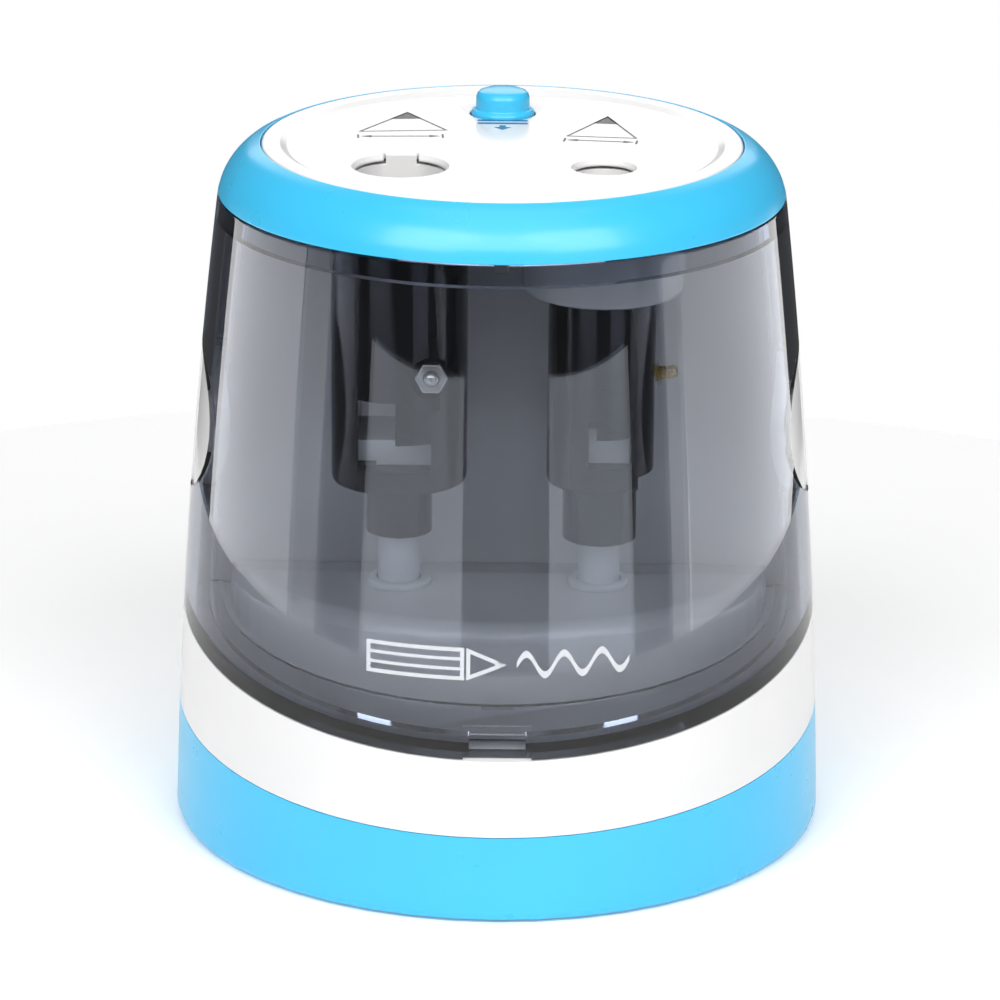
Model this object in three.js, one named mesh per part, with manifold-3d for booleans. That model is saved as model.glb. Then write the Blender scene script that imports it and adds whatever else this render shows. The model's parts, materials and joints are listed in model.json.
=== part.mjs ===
// Battery pencil sharpener with two holes: a round tapering body, a smoky pull-off front cover,
// two spinning cutters behind it, a gear train and motor in the base, and four cells at the back.
// Millimetres, +Z up, the front cover faces -Y, the origin is the centre of the underside.
import * as THREE from 'three';
import { mergeVertices } from 'three/addons/utils/BufferGeometryUtils.js';
import Module from 'manifold-3d';

const wasm = await Module();
wasm.setup();

// ---- Body of revolution ----
const FOOT_RADIUS = 47;
const TAPER = 0.0252;
const TAPER_CURVE = 0.000523;
const SKIN_LEVELS = [0, 20, 45, 70, 92.5];
const BODY_SEGMENTS = 48;
const HOUSING_WALL = 2.2;
const COVER_WALL = 1.7;
const COVER_FRAME = 3.6;
const COVER_SILL = 2.4;
const COVER_FLOOR_TOP = 0.95;
const COVER_FLOOR_GAP = 1.3;
const SEAM_GAP = 0.15;

// The two sloping seams run lower at the front: z = level + slope * y.
const BASE_SEAM = { level: 18.05, slope: 0.117 };
const COVER_SEAM = { level: 33, slope: 0.204 };
const CROWN_BOTTOM = 92.5;
const PLATE_RADIUS = 34;
const PLATE_TOP = 99.6;
const DISH_TOP = 99;
const PLATE_BOTTOM = 98;

// ---- Pencil axes and cutters ----
const AXIS_X = 14.15;
const AXIS_Y = -12;
const DECK_TOP = 38;
const DECK_BACK_SLOPE = { level: 36.65, slope: -0.165 };
const DECK_SHOULDER = 3;
const DECK_CEILING = 35.2;
const DECK_HALF_WIDTH = 38.9;
const DECK_DEPTH = 31.6;
const WALL_FRONT = 1;
const WALL_BACK = 2.6;
const SPINDLE_RADIUS = 3;
const TURNED_GAP = 0.3;
const SEAT_MOUTH = 2.2;
const M2_SHANK = 1;
const M2_NUT_FLATS = 4;
const M2_NUT_THICKNESS = 1.6;

const LEFT_CUTTER = {
  side: 'left',
  x: -AXIS_X,
  turn: 0,
  radius: 9.55,
  hubRadius: 4.65,
  hubBottom: 46,
  bottom: 53.6,
  top: 92.3,
  bore: 6.5,
  coneFoot: { radius: 1, z: 62.4 },
  coneTop: { radius: 6.4, z: 91.3 },
  pocket: { half: 6.1, top: 61.4 },
  headTop: 60.9,
  seat: { screwZ: 68.8, below: 6.6, above: 17.4 },
  screwOffset: 4.6,
  nutSeat: 9.2,
  screwTip: 12.1,
  blade: { width: 8.3, below: 6.2, above: 16.2 },
};

const RIGHT_CUTTER = {
  side: 'right',
  x: AXIS_X,
  turn: THREE.MathUtils.degToRad(74),
  radius: 7.5,
  hubRadius: 5.2,
  hubBottom: 45.2,
  bottom: 53.4,
  top: 85.3,
  bore: 4.4,
  coneFoot: { radius: 0.9, z: 64.2 },
  coneTop: { radius: 4.3, z: 84.3 },
  pocket: { half: 4.5, top: 63 },
  headTop: 62.4,
  seat: { screwZ: 67.5, below: 3, above: 13 },
  screwOffset: 3.7,
  nutSeat: 6.6,
  screwTip: 11.4,
  blade: { width: 7, below: 2.6, above: 12.2 },
  footRelief: { from: 5.2, top: 55.6 },
};

// ---- Gear train ----
const PRESSURE_ANGLE = THREE.MathUtils.degToRad(25);
const BACKLASH = 0.14;
const OUTPUT_TEETH = 24;
const IDLER_SMALL_TEETH = 10;
const IDLER_LARGE_TEETH = 28;
const MOTOR_TEETH = 9;
const COARSE_MODULE = 1;
const FINE_MODULE = 0.8;
const OUTPUT_REACH = (OUTPUT_TEETH + IDLER_SMALL_TEETH) * COARSE_MODULE / 2;
const IDLER_Y = AXIS_Y + Math.sqrt(OUTPUT_REACH ** 2 - AXIS_X ** 2);
const MOTOR_Y = IDLER_Y + (IDLER_LARGE_TEETH + MOTOR_TEETH) * FINE_MODULE / 2;

// ---- Base fixings, cells and button ----
const SCREW_RING = 39.6;
const SCREW_ANGLES = [35, 145, 215, 325];
const CELL_RADIUS = 7.15;
const CELL_SPACING = 15;
const CELL_Y = 20;
const CELL_BOTTOM = 38.2;
const CELL_TOP = 88.7;
const BAY_FLOOR = 36.9;
const BAY_CEILING = 90.3;
const DOOR_HALF_WIDTH = 30;
const DOOR_BOTTOM = 46;
const DOOR_TOP = 86;
const BUTTON_Y = 19;

// ---- Materials ----
const skyBlue = new THREE.MeshStandardMaterial({ color: 0x2fb1ea, roughness: 0.18, metalness: 0 });
const glossWhite = new THREE.MeshStandardMaterial({ color: 0xf2f3f4, roughness: 0.22, metalness: 0 });
const nylonWhite = new THREE.MeshStandardMaterial({ color: 0xe4e6e7, roughness: 0.45, metalness: 0 });
const smoke = new THREE.MeshStandardMaterial({
  color: 0x3a4048, roughness: 0.08, metalness: 0, transparent: true, opacity: 0.45,
});
const darkPlastic = new THREE.MeshStandardMaterial({ color: 0x24262b, roughness: 0.3, metalness: 0 });
const steel = new THREE.MeshStandardMaterial({ color: 0xc3c6c9, roughness: 0.28, metalness: 1 });
const brass = new THREE.MeshStandardMaterial({ color: 0xb8913f, roughness: 0.32, metalness: 1 });
const cellJacket = new THREE.MeshStandardMaterial({ color: 0x3c6a4a, roughness: 0.35, metalness: 0.1 });

// ---- Solids from three.js shapes ----
function asSolid(geometry) {
  const bare = geometry.clone();
  bare.deleteAttribute('normal');
  bare.deleteAttribute('uv');
  const welded = mergeVertices(bare, 1e-4);
  const position = welded.getAttribute('position');
  const corners = [new THREE.Vector3(), new THREE.Vector3(), new THREE.Vector3()];
  const triangles = [];
  let volume = 0;
  for (let i = 0; i < welded.index.count; i += 3) {
    const ids = [0, 1, 2].map((k) => welded.index.getX(i + k));
    if (ids[0] === ids[1] || ids[1] === ids[2] || ids[2] === ids[0]) {
      continue;
    }
    ids.forEach((id, k) => corners[k].fromBufferAttribute(position, id));
    volume += corners[0].dot(corners[1].clone().cross(corners[2]));
    triangles.push(ids);
  }
  const order = volume < 0 ? [0, 2, 1] : [0, 1, 2];
  return new wasm.Manifold(new wasm.Mesh({
    numProp: 3,
    vertProperties: new Float32Array(position.array),
    triVerts: new Uint32Array(triangles.flatMap((ids) => order.map((k) => ids[k]))),
  }));
}

function asGeometry(solid) {
  const mesh = solid.getMesh();
  const geometry = new THREE.BufferGeometry();
  geometry.setAttribute('position', new THREE.BufferAttribute(mesh.vertProperties, 3));
  geometry.setIndex(new THREE.BufferAttribute(mesh.triVerts, 1));
  geometry.computeVertexNormals();
  return geometry;
}

function block(x, y, z) {
  const geometry = new THREE.BoxGeometry(x[1] - x[0], y[1] - y[0], z[1] - z[0]);
  geometry.translate((x[0] + x[1]) / 2, (y[0] + y[1]) / 2, (z[0] + z[1]) / 2);
  return asSolid(geometry);
}

function rod(radius, bottom, top, x = 0, y = 0, sides = 24) {
  const geometry = new THREE.CylinderGeometry(radius, radius, top - bottom, sides);
  geometry.rotateX(Math.PI / 2);
  geometry.translate(x, y, (bottom + top) / 2);
  return asSolid(geometry);
}

// Turns a profile of [radius, height] points about a vertical axis.
function turned(profile, x = 0, y = 0, sides = 24) {
  const geometry = new THREE.LatheGeometry(profile.map(([r, z]) => new THREE.Vector2(r, z)), sides);
  geometry.rotateX(Math.PI / 2);
  geometry.translate(x, y, 0);
  return asSolid(geometry);
}

function ringProfile(profile) {
  return [...profile, profile[0]];
}

function prism(points, bottom, top) {
  const shape = new THREE.Shape(points.map(([x, y]) => new THREE.Vector2(x, y)));
  const geometry = new THREE.ExtrudeGeometry(shape, { depth: top - bottom, bevelEnabled: false });
  geometry.translate(0, 0, bottom);
  return asSolid(geometry);
}

// Extrudes an [x, z] outline from one y to another.
function crosswisePrism(points, front, back) {
  const shape = new THREE.Shape(points.map(([x, z]) => new THREE.Vector2(x, z)));
  const geometry = new THREE.ExtrudeGeometry(shape, { depth: back - front, bevelEnabled: false });
  geometry.rotateX(Math.PI / 2);
  geometry.translate(0, back, 0);
  return asSolid(geometry);
}

function above(seam, lift = 0) {
  const geometry = new THREE.BoxGeometry(300, 300, 200);
  geometry.translate(0, 0, 100);
  geometry.rotateX(Math.atan(seam.slope));
  geometry.translate(0, 0, seam.level + lift);
  return asSolid(geometry);
}

function below(seam, lift = 0) {
  const geometry = new THREE.BoxGeometry(300, 300, 200);
  geometry.translate(0, 0, -100);
  geometry.rotateX(Math.atan(seam.slope));
  geometry.translate(0, 0, seam.level + lift);
  return asSolid(geometry);
}

function inFrontOf(y) {
  return block([-100, 100], [-200, y], [-50, 150]);
}

function behind(y) {
  return block([-100, 100], [y, 200], [-50, 150]);
}

function skinRadius(z) {
  return FOOT_RADIUS - TAPER * z - TAPER_CURVE * z * z;
}

// The body's outer skin, moved inwards, between two heights.
function skinSolid(inset, bottom, top) {
  const levels = [bottom, ...SKIN_LEVELS.filter((z) => z > bottom && z < top), top];
  const side = levels.map((z) => [skinRadius(z) - inset, z]);
  return turned([[0, bottom], ...side, [0, top]], 0, 0, BODY_SEGMENTS);
}

function halfEllipse(halfWidth, depth, back, steps = 28) {
  const points = [];
  for (let i = 0; i <= steps; i += 1) {
    const angle = Math.PI + Math.PI * i / steps;
    points.push([halfWidth * Math.cos(angle), depth * Math.sin(angle)]);
  }
  points.push([halfWidth, back], [-halfWidth, back]);
  return points;
}

const sharpener = new THREE.Group();
sharpener.name = 'pencil_sharpener';

function addPart(name, solid, material) {
  const mesh = new THREE.Mesh(asGeometry(solid), material);
  mesh.name = name;
  sharpener.add(mesh);
}

function screwPositions() {
  return SCREW_ANGLES.map((degrees) => {
    const angle = THREE.MathUtils.degToRad(degrees);
    return { angle, x: SCREW_RING * Math.cos(angle), y: SCREW_RING * Math.sin(angle) };
  });
}

// A screw boss joined to the outer wall by a rib.
function wallBoss({ angle, x, y }, bottom, top) {
  const rib = new THREE.BoxGeometry(5.2, 2.4, top - bottom);
  rib.translate(SCREW_RING + 2.9, 0, (top + bottom) / 2);
  rib.rotateZ(angle);
  return rod(3.5, bottom, top, x, y, 12).add(asSolid(rib));
}

// ---- Base shell: floor, wall, motor cradle and posts ----
function baseShell() {
  const skin = turned([
    [0, 0], [skinRadius(0) - 1.4, 0], [skinRadius(0) - 0.4, 0.4], [skinRadius(1.4), 1.4],
    [skinRadius(20), 20], [skinRadius(30), 30], [0, 30],
  ], 0, 0, BODY_SEGMENTS);
  let shell = skin.subtract(skinSolid(HOUSING_WALL, 2, 40));
  for (const place of screwPositions()) {
    shell = shell.add(wallBoss(place, 1, 30));
  }
  shell = shell.intersect(below(BASE_SEAM, -SEAM_GAP));
  shell = shell.add(rod(11.6, 1.5, 13, 0, MOTOR_Y, 28).subtract(rod(10.3, 2, 20, 0, MOTOR_Y, 28)));
  for (const [x, y] of [[-17, -17], [17, -17], [-24, -3.2], [24, -3.2]]) {
    shell = shell.add(rod(2.6, 1.5, 24.4, x, y, 8));
  }
  for (const { x, y } of screwPositions()) {
    shell = shell.subtract(rod(3, -1, 2.6, x, y, 16)).subtract(rod(1.6, -1, 40, x, y, 12));
  }
  return shell;
}
addPart('base_shell', baseShell(), skyBlue);

screwPositions().forEach(({ x, y }, index) => {
  const recess = rod(0.55, 0, 1.5, x, y, 6);
  const screw = rod(2.6, 0.8, 2.5, x, y, 16).add(rod(1.2, 2.4, 21.5, x, y, 8));
  addPart(`base_screw_${index + 1}`, screw.subtract(recess), steel);
});

// ---- Middle housing: white band, sloping chip tray floor, raised deck ----
function deckBlock(halfWidth, depth, top, round) {
  const outline = halfEllipse(halfWidth, depth, 6).map(([x, y]) => new THREE.Vector2(x, y));
  const geometry = new THREE.ExtrudeGeometry(new THREE.Shape(outline), {
    depth: top - 20 - round * 2,
    bevelEnabled: true,
    bevelThickness: round,
    bevelSize: round,
    bevelOffset: -round,
    bevelSegments: 4,
  });
  geometry.translate(0, 0, 20 + round);
  return asSolid(geometry);
}

function middleHousing() {
  const wall = skinSolid(0, 5, 60).subtract(skinSolid(HOUSING_WALL, 4, 61));
  let housing = wall;
  for (const place of screwPositions()) {
    housing = housing.add(wallBoss(place, 10, place.y < 0 ? 27 : 31));
  }
  housing = housing.intersect(above(BASE_SEAM));
  housing = housing.intersect(below(COVER_SEAM));
  const floor = skinSolid(1, 5, 60)
    .intersect(below(COVER_SEAM))
    .intersect(above(COVER_SEAM, -1.8))
    .intersect(inFrontOf(0.8));
  const deck = deckBlock(DECK_HALF_WIDTH, DECK_DEPTH, DECK_TOP, DECK_SHOULDER)
    .intersect(above(COVER_SEAM, -1.8))
    .subtract(above(DECK_BACK_SLOPE))
    .intersect(inFrontOf(0.8));
  const deckHollow = prism(halfEllipse(DECK_HALF_WIDTH - 3.2, DECK_DEPTH - 3, 6), 15, DECK_CEILING);
  housing = housing.add(floor).add(deck).subtract(deckHollow);
  housing = housing.subtract(block([-2.25, 2.25], [-33.3, -31.5], [20, 27]));
  for (const { x } of [LEFT_CUTTER, RIGHT_CUTTER]) {
    housing = housing.subtract(rod(3.75, 30, 40, x, AXIS_Y, 20));
  }
  for (const { x, y } of screwPositions()) {
    housing = housing.subtract(rod(1.4, 5, 23.5, x, y, 8));
  }
  return housing;
}
addPart('middle_housing', middleHousing(), glossWhite);

// ---- Rear housing: rear half of the skin, flat front wall, battery bay ----
function scoop(clearance, reach) {
  const geometry = new THREE.CylinderGeometry(1, 1, 120, 32);
  geometry.rotateZ(Math.PI / 2);
  geometry.scale(1, reach - clearance, 11 - clearance);
  geometry.translate(0, 0, 60);
  return asSolid(geometry);
}

function rearHousing() {
  let housing = skinSolid(0, 20, 92.3).intersect(above(COVER_SEAM, SEAM_GAP)).intersect(behind(0.2));
  housing = housing.subtract(skinSolid(4, 10, 100).intersect(inFrontOf(WALL_FRONT)));
  housing = housing.subtract(skinSolid(2, BAY_FLOOR, BAY_CEILING).intersect(behind(WALL_BACK)));
  housing = housing.subtract(skinSolid(2, 10, 35.3).intersect(behind(WALL_BACK)));
  housing = housing.subtract(block([-34, 34], [-2, 3], [10, 35.3]));
  housing = housing.subtract(skinSolid(2.4, 91.9, 100));
  housing = housing.subtract(
    block([-DOOR_HALF_WIDTH, DOOR_HALF_WIDTH], [20, 60], [DOOR_BOTTOM, DOOR_TOP]),
  );
  const ears = skinSolid(0.35, 40, 80)
    .subtract(skinSolid(3.4, 39, 81))
    .intersect(scoop(TURNED_GAP, 15))
    .intersect(block([-60, 60], [-30, 0.6], [40, 80]));
  return housing.add(ears);
}
addPart('rear_housing', rearHousing(), glossWhite);

function batteryDoor() {
  const panel = skinSolid(0, 30, 92)
    .subtract(skinSolid(2, 29, 93))
    .intersect(block(
      [-DOOR_HALF_WIDTH + 0.25, DOOR_HALF_WIDTH - 0.25], [20, 60], [DOOR_BOTTOM + 0.25, DOOR_TOP - 0.25],
    ));
  const grip = new THREE.CylinderGeometry(5, 5, 16, 24);
  grip.rotateZ(Math.PI / 2);
  grip.translate(0, skinRadius(79) + 3.9, 80);
  return panel.subtract(asSolid(grip));
}
addPart('battery_door', batteryDoor(), glossWhite);

// ---- Cells, cell holder and contact strips ----
function cellHolder() {
  let holder = block([-31.4, 31.4], [11.2, 12.4], [37, 90.2]);
  for (const x of [-30.9, -CELL_SPACING, 0, CELL_SPACING, 30.9]) {
    holder = holder.add(block([x - 0.5, x + 0.5], [11.2, 17], [37, 90.2]));
  }
  return holder;
}
addPart('cell_holder', cellHolder(), nylonWhite);

const CELL_PLACES = [-1.5, -0.5, 0.5, 1.5].map((step) => step * CELL_SPACING);
CELL_PLACES.forEach((x, index) => {
  const nubUp = index % 2 === 0;
  const outline = [[0, 0], [6.5, 0], [CELL_RADIUS, 0.6], [CELL_RADIUS, 48.4], [6.5, 49.1],
    [2.75, 49.1], [2.75, 50.5], [0, 50.5]];
  const profile = outline.map(([r, z]) => [r, nubUp ? CELL_BOTTOM + z : CELL_TOP - z]);
  addPart(`cell_${index + 1}`, turned(profile, x, CELL_Y, 18), cellJacket);
});

// A sprung strip: a flat band with a raised pad under each cell it touches.
function contactStrip(places, from, to, flat, pad) {
  const sheet = Math.sign(pad - flat) * 0.35;
  const outline = [[from, flat], [from, flat + sheet]];
  for (const x of places) {
    outline.push([x - 3.4, flat + sheet], [x - 2, pad], [x + 2, pad], [x + 3.4, flat + sheet]);
  }
  outline.push([to, flat + sheet], [to, flat]);
  for (const x of [...places].reverse()) {
    outline.push([x + 3.1, flat], [x + 1.8, pad - sheet], [x - 1.8, pad - sheet], [x - 3.1, flat]);
  }
  return crosswisePrism(outline, CELL_Y - 2.3, CELL_Y + 2.3);
}
const [FIRST, SECOND, THIRD, FOURTH] = CELL_PLACES;
addPart('lower_link_left', contactStrip([FIRST, SECOND], FIRST - 5, SECOND + 5, 37, 38.1), steel);
addPart('lower_link_right', contactStrip([THIRD, FOURTH], THIRD - 5, FOURTH + 5, 37, 38.1), steel);
addPart('upper_link', contactStrip([SECOND, THIRD], SECOND - 5, THIRD + 5, 90.2, 88.8), steel);
addPart('positive_terminal', contactStrip([FIRST], FIRST - 5, FIRST + 5, 90.2, 88.8), steel);
addPart('negative_terminal', contactStrip([FOURTH], FOURTH - 5, FOURTH + 5, 90.2, 88.8), steel);

// ---- Crown ring, upper deck and top plate ----
addPart('crown_ring', turned(ringProfile([
  [40.2, CROWN_BOTTOM], [39.5, 94.6], [38.2, 96.7], [36.3, 98.5], [PLATE_RADIUS + 0.15, PLATE_TOP],
  [PLATE_RADIUS + 0.15, 97.8], [31.9, 97.8], [31.9, 96.4], [35.2, 96.4], [37.8, CROWN_BOTTOM],
]), 0, 0, BODY_SEGMENTS), skyBlue);

function upperDeck() {
  const disc = rod(36.5, 92.55, 94.1, 0, 0, BODY_SEGMENTS);
  return disc
    .subtract(rod(12.6, 90, 96, -AXIS_X, AXIS_Y, 28))
    .subtract(rod(11.6, 90, 96, AXIS_X, AXIS_Y, 28))
    .subtract(rod(7.4, 90, 96, 0, BUTTON_Y));
}
addPart('upper_deck', upperDeck(), nylonWhite);

// A hole through the plate with a rounded funnel at its upper edge.
function funnel(radius, rim, x, y) {
  return turned([
    [0, 96], [radius, 96], [radius, DISH_TOP - 0.6], [rim, DISH_TOP], [rim, DISH_TOP + 2], [0, DISH_TOP + 2],
  ], x, y, 28);
}

function topPlate() {
  const plate = turned([
    [0, PLATE_BOTTOM], [PLATE_RADIUS, PLATE_BOTTOM], [PLATE_RADIUS, PLATE_TOP - 0.2],
    [PLATE_RADIUS - 0.3, PLATE_TOP], [31.4, PLATE_TOP], [30.4, DISH_TOP], [0, DISH_TOP],
  ], 0, 0, BODY_SEGMENTS);
  return plate
    .subtract(funnel(6.3, 6.85, -AXIS_X, AXIS_Y))
    .subtract(block([-AXIS_X - 2.45, -AXIS_X + 2.45], [AXIS_Y + 5, AXIS_Y + 7.2], [97, 100]))
    .subtract(funnel(4.15, 4.6, AXIS_X, AXIS_Y))
    .subtract(rod(4.8, 96, 101, 0, BUTTON_Y));
}
addPart('top_plate', topPlate(), glossWhite);

// ---- Pencil guides hanging under the plate ----
function pencilGuide(x, outer, bottom, journal, shoulder, bore) {
  return turned(ringProfile([
    [journal, bottom], [outer - 1.2, bottom], [outer - 0.35, bottom + 0.35], [outer, bottom + 1.2],
    [outer, 94.3], [outer + 1.1, 94.3], [outer + 1.1, 95.5], [outer, 95.5], [outer, 97.6],
    [bore, 97.6], [bore, shoulder], [journal, shoulder],
  ]), x, AXIS_Y, 20);
}
const steppedStop = block([-AXIS_X - 3.15, -AXIS_X + 3.15], [AXIS_Y + 6, AXIS_Y + 8], [93.6, 97.5])
  .add(block([-AXIS_X - 2.15, -AXIS_X + 2.15], [AXIS_Y + 6, AXIS_Y + 6.9], [97.4, 98.9]));
addPart(
  'left_pencil_guide',
  pencilGuide(-AXIS_X, 12.4, 89.4, 9.95, 92.8, 6.6).add(steppedStop),
  glossWhite,
);
addPart('right_pencil_guide', pencilGuide(AXIS_X, 11.35, 81.3, 7.9, 85.8, 4.5), glossWhite);

// ---- Button and switch ----
addPart('button_cap', turned([
  [0, 94.9], [1.6, 94.9], [1.6, 96.1], [5.7, 96.1], [5.7, 97.5], [4.55, 97.5], [4.55, 99.4], [4.2, 99.7],
  [3.9, 99.8], [3.9, 101.1], [3.65, 101.9], [3, 102.4], [2, 102.6], [0, 102.6],
], 0, BUTTON_Y, 20), skyBlue);
addPart('button_contact_disc', rod(2.6, 94.4, 94.8, 0, BUTTON_Y, 24), brass);

class Coil extends THREE.Curve {
  constructor(radius, bottom, top, turns) {
    super();
    Object.assign(this, { radius, bottom, top, turns });
  }

  getPoint(t, target = new THREE.Vector3()) {
    const angle = 2 * Math.PI * this.turns * t;
    const z = this.bottom + (this.top - this.bottom) * t;
    return target.set(this.radius * Math.cos(angle), BUTTON_Y + this.radius * Math.sin(angle), z);
  }
}
const wireOutline = [0, 1, 2, 3, 4, 5].map((k) => {
  const angle = Math.PI * k / 3;
  return new THREE.Vector2(0.25 * Math.cos(angle), 0.25 * Math.sin(angle));
});
addPart('button_spring', asSolid(new THREE.ExtrudeGeometry(new THREE.Shape(wireOutline), {
  steps: 30, bevelEnabled: false, extrudePath: new Coil(4.9, 92.6, 95.7, 3),
})), steel);

addPart('switch_base', rod(6.6, 91.98, 92.25, 0, BUTTON_Y, 24), darkPlastic);
addPart('switch_contact_left', block([-2.6, -0.7], [BUTTON_Y - 1, BUTTON_Y + 1], [92.28, 92.52]), brass);
addPart('switch_contact_right', block([0.7, 2.6], [BUTTON_Y - 1, BUTTON_Y + 1], [92.28, 92.52]), brass);

// ---- Front cover: half skin with a thick inner frame, a shavings floor, scoops and a latch window ----
function frontCover() {
  const outer = skinSolid(0, 15, 92.3);
  const thick = outer.subtract(skinSolid(COVER_FRAME, 14, 93));
  const pane = skinSolid(COVER_WALL, 14, 88.9)
    .intersect(above(COVER_SEAM, COVER_SILL))
    .intersect(inFrontOf(-4.2));
  const floor = skinSolid(1, 15, 60)
    .intersect(below(COVER_SEAM, COVER_FLOOR_TOP))
    .subtract(prism(
      halfEllipse(DECK_HALF_WIDTH + COVER_FLOOR_GAP, DECK_DEPTH + COVER_FLOOR_GAP, 6), 10, 60,
    ));
  let cover = thick
    .subtract(pane)
    .add(floor)
    .intersect(above(COVER_SEAM, 0.2))
    .intersect(inFrontOf(-0.2));
  cover = cover.subtract(scoop(0, 15));
  cover = cover.subtract(block([-4.7, 4.7], [-50, -skinRadius(26) + 0.7], [20, 28.7]));
  cover = cover.subtract(block([-3.9, 3.9], [-50, -42], [25.2, 27.2]));
  cover = cover.subtract(block([-1, 1], [-50, -skinRadius(92) + 0.9], [91.3, 94]));
  return cover;
}
addPart('front_cover', frontCover(), smoke);

// ---- Cutters ----
function coneRadius(cutter, z) {
  const { coneFoot, coneTop } = cutter;
  return coneFoot.radius + (coneTop.radius - coneFoot.radius) * (z - coneFoot.z) / (coneTop.z - coneFoot.z);
}

// Places a shape made in the blade's own frame: x across, y out of the seat, z along the edge.
function onBladeSeat(cutter, geometry, axisX = cutter.x, axisY = AXIS_Y) {
  const { coneFoot, coneTop } = cutter;
  const lean = Math.atan((coneTop.radius - coneFoot.radius) / (coneTop.z - coneFoot.z));
  geometry.rotateX(-lean);
  geometry.translate(0, coneRadius(cutter, cutter.seat.screwZ) - 0.25, cutter.seat.screwZ);
  geometry.rotateZ(cutter.turn);
  geometry.translate(axisX, axisY, 0);
  return asSolid(geometry);
}

function acrossSeat(radius, from, to, offset, sides, turn = 0) {
  const geometry = new THREE.CylinderGeometry(radius, radius, to - from, sides, 1, false, turn);
  geometry.translate(offset, (from + to) / 2, 0);
  return geometry;
}

function cutterHolder(cutter, windows) {
  const { x, radius, hubRadius, hubBottom, bottom, top, bore, coneFoot, coneTop, pocket, seat } = cutter;
  let holder = turned([
    [0, hubBottom], [hubRadius, hubBottom], [hubRadius, bottom - 0.2], [radius - 0.7, bottom],
    [radius - 0.15, bottom + 0.25], [radius, bottom + 0.8], [radius, top], [0, top],
  ], x, AXIS_Y, 28);
  holder = holder.subtract(turned([
    [0, pocket.top - 0.2], [coneFoot.radius, pocket.top - 0.2], [coneFoot.radius, coneFoot.z],
    [coneTop.radius, coneTop.z], [bore, top + 1], [0, top + 1],
  ], x, AXIS_Y, 24));
  holder = holder.subtract(rod(SPINDLE_RADIUS + TURNED_GAP, hubBottom - 1, 56.3, x, AXIS_Y, 20));
  // The spindle and its square head slide in from the back.
  const halfSlot = SPINDLE_RADIUS + TURNED_GAP;
  holder = holder.subtract(block([x - halfSlot, x + halfSlot], [AXIS_Y, AXIS_Y + 12], [hubBottom - 1, 56.3]));
  holder = holder.subtract(block(
    [x - pocket.half, x + pocket.half], [AXIS_Y - pocket.half, AXIS_Y + 12], [56.2, pocket.top],
  ));
  const seatCut = new THREE.BoxGeometry(20, 20, seat.above + seat.below);
  seatCut.translate(10 - SEAT_MOUTH, 10, (seat.above - seat.below) / 2);
  holder = holder.subtract(onBladeSeat(cutter, seatCut));
  const screwHole = acrossSeat(M2_SHANK + TURNED_GAP, -20, 5, cutter.screwOffset, 12);
  const spotFace = acrossSeat(3, -20, -cutter.nutSeat, cutter.screwOffset, 18);
  holder = holder.subtract(onBladeSeat(cutter, screwHole)).subtract(onBladeSeat(cutter, spotFace));
  if (cutter.footRelief) {
    const { from, top: reliefTop } = cutter.footRelief;
    holder = holder.subtract(block([x + from, x + 10], [AXIS_Y - 10, AXIS_Y + 10], [bottom - 1, reliefTop]));
  }
  for (const [from, to, low, high, depth] of windows) {
    holder = holder.subtract(block([x + from, x + to], [AXIS_Y - 12, AXIS_Y + depth], [low, high]));
  }
  return holder;
}

function blade(cutter) {
  const { width, below: down, above: up } = cutter.blade;
  const section = new THREE.Shape([[-0.1, 0.3], [width, 0.3], [width, 0.9], [1.3, 0.9]]
    .map(([x, y]) => new THREE.Vector2(x, y)));
  const strip = new THREE.ExtrudeGeometry(section, { depth: up + down, bevelEnabled: false });
  strip.translate(0, 0, -down);
  const hole = acrossSeat(M2_SHANK + TURNED_GAP, -2, 3, cutter.screwOffset, 12);
  return onBladeSeat(cutter, strip).subtract(onBladeSeat(cutter, hole));
}

function bladeScrew(cutter) {
  const head = acrossSeat(1.9, 1.2, 2.4, cutter.screwOffset, 18);
  const shank = acrossSeat(M2_SHANK, -cutter.screwTip, 1.3, cutter.screwOffset, 10);
  const slot = new THREE.BoxGeometry(0.5, 0.6, 5);
  slot.translate(cutter.screwOffset, 2.4, 0);
  return onBladeSeat(cutter, head).add(onBladeSeat(cutter, shank)).subtract(onBladeSeat(cutter, slot));
}

function bladeNut(cutter) {
  const outer = -cutter.nutSeat - TURNED_GAP - M2_NUT_THICKNESS;
  const inner = -cutter.nutSeat - TURNED_GAP;
  const hexagon = acrossSeat(M2_NUT_FLATS / Math.sqrt(3), outer, inner, cutter.screwOffset, 6, Math.PI / 6);
  const thread = acrossSeat(M2_SHANK + 0.15, -20, 0, cutter.screwOffset, 12);
  return onBladeSeat(cutter, hexagon).subtract(onBladeSeat(cutter, thread));
}

function spindle(cutter) {
  const { x, pocket, headTop } = cutter;
  const head = pocket.half - TURNED_GAP;
  return turned([
    [0, 24.1], [1.5, 24.1], [1.5, 27], [SPINDLE_RADIUS, 27], [SPINDLE_RADIUS, 30.2], [4.2, 30.2],
    [4.2, 31], [SPINDLE_RADIUS, 31], [SPINDLE_RADIUS, 56.7], [0, 56.7],
  ], x, AXIS_Y, 20)
    .add(block([x - head, x + head], [AXIS_Y - head, AXIS_Y + head], [56.5, headTop]));
}

function bush(x, flange) {
  return turned(ringProfile([
    [SPINDLE_RADIUS + 0.2, 35.4], [3.65, 35.4], [3.65, 38.05], [flange, 38.05], [flange, 38.6],
    [flange - 0.35, 38.9], [SPINDLE_RADIUS + 0.2, 38.9],
  ]), x, AXIS_Y, 20);
}

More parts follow.
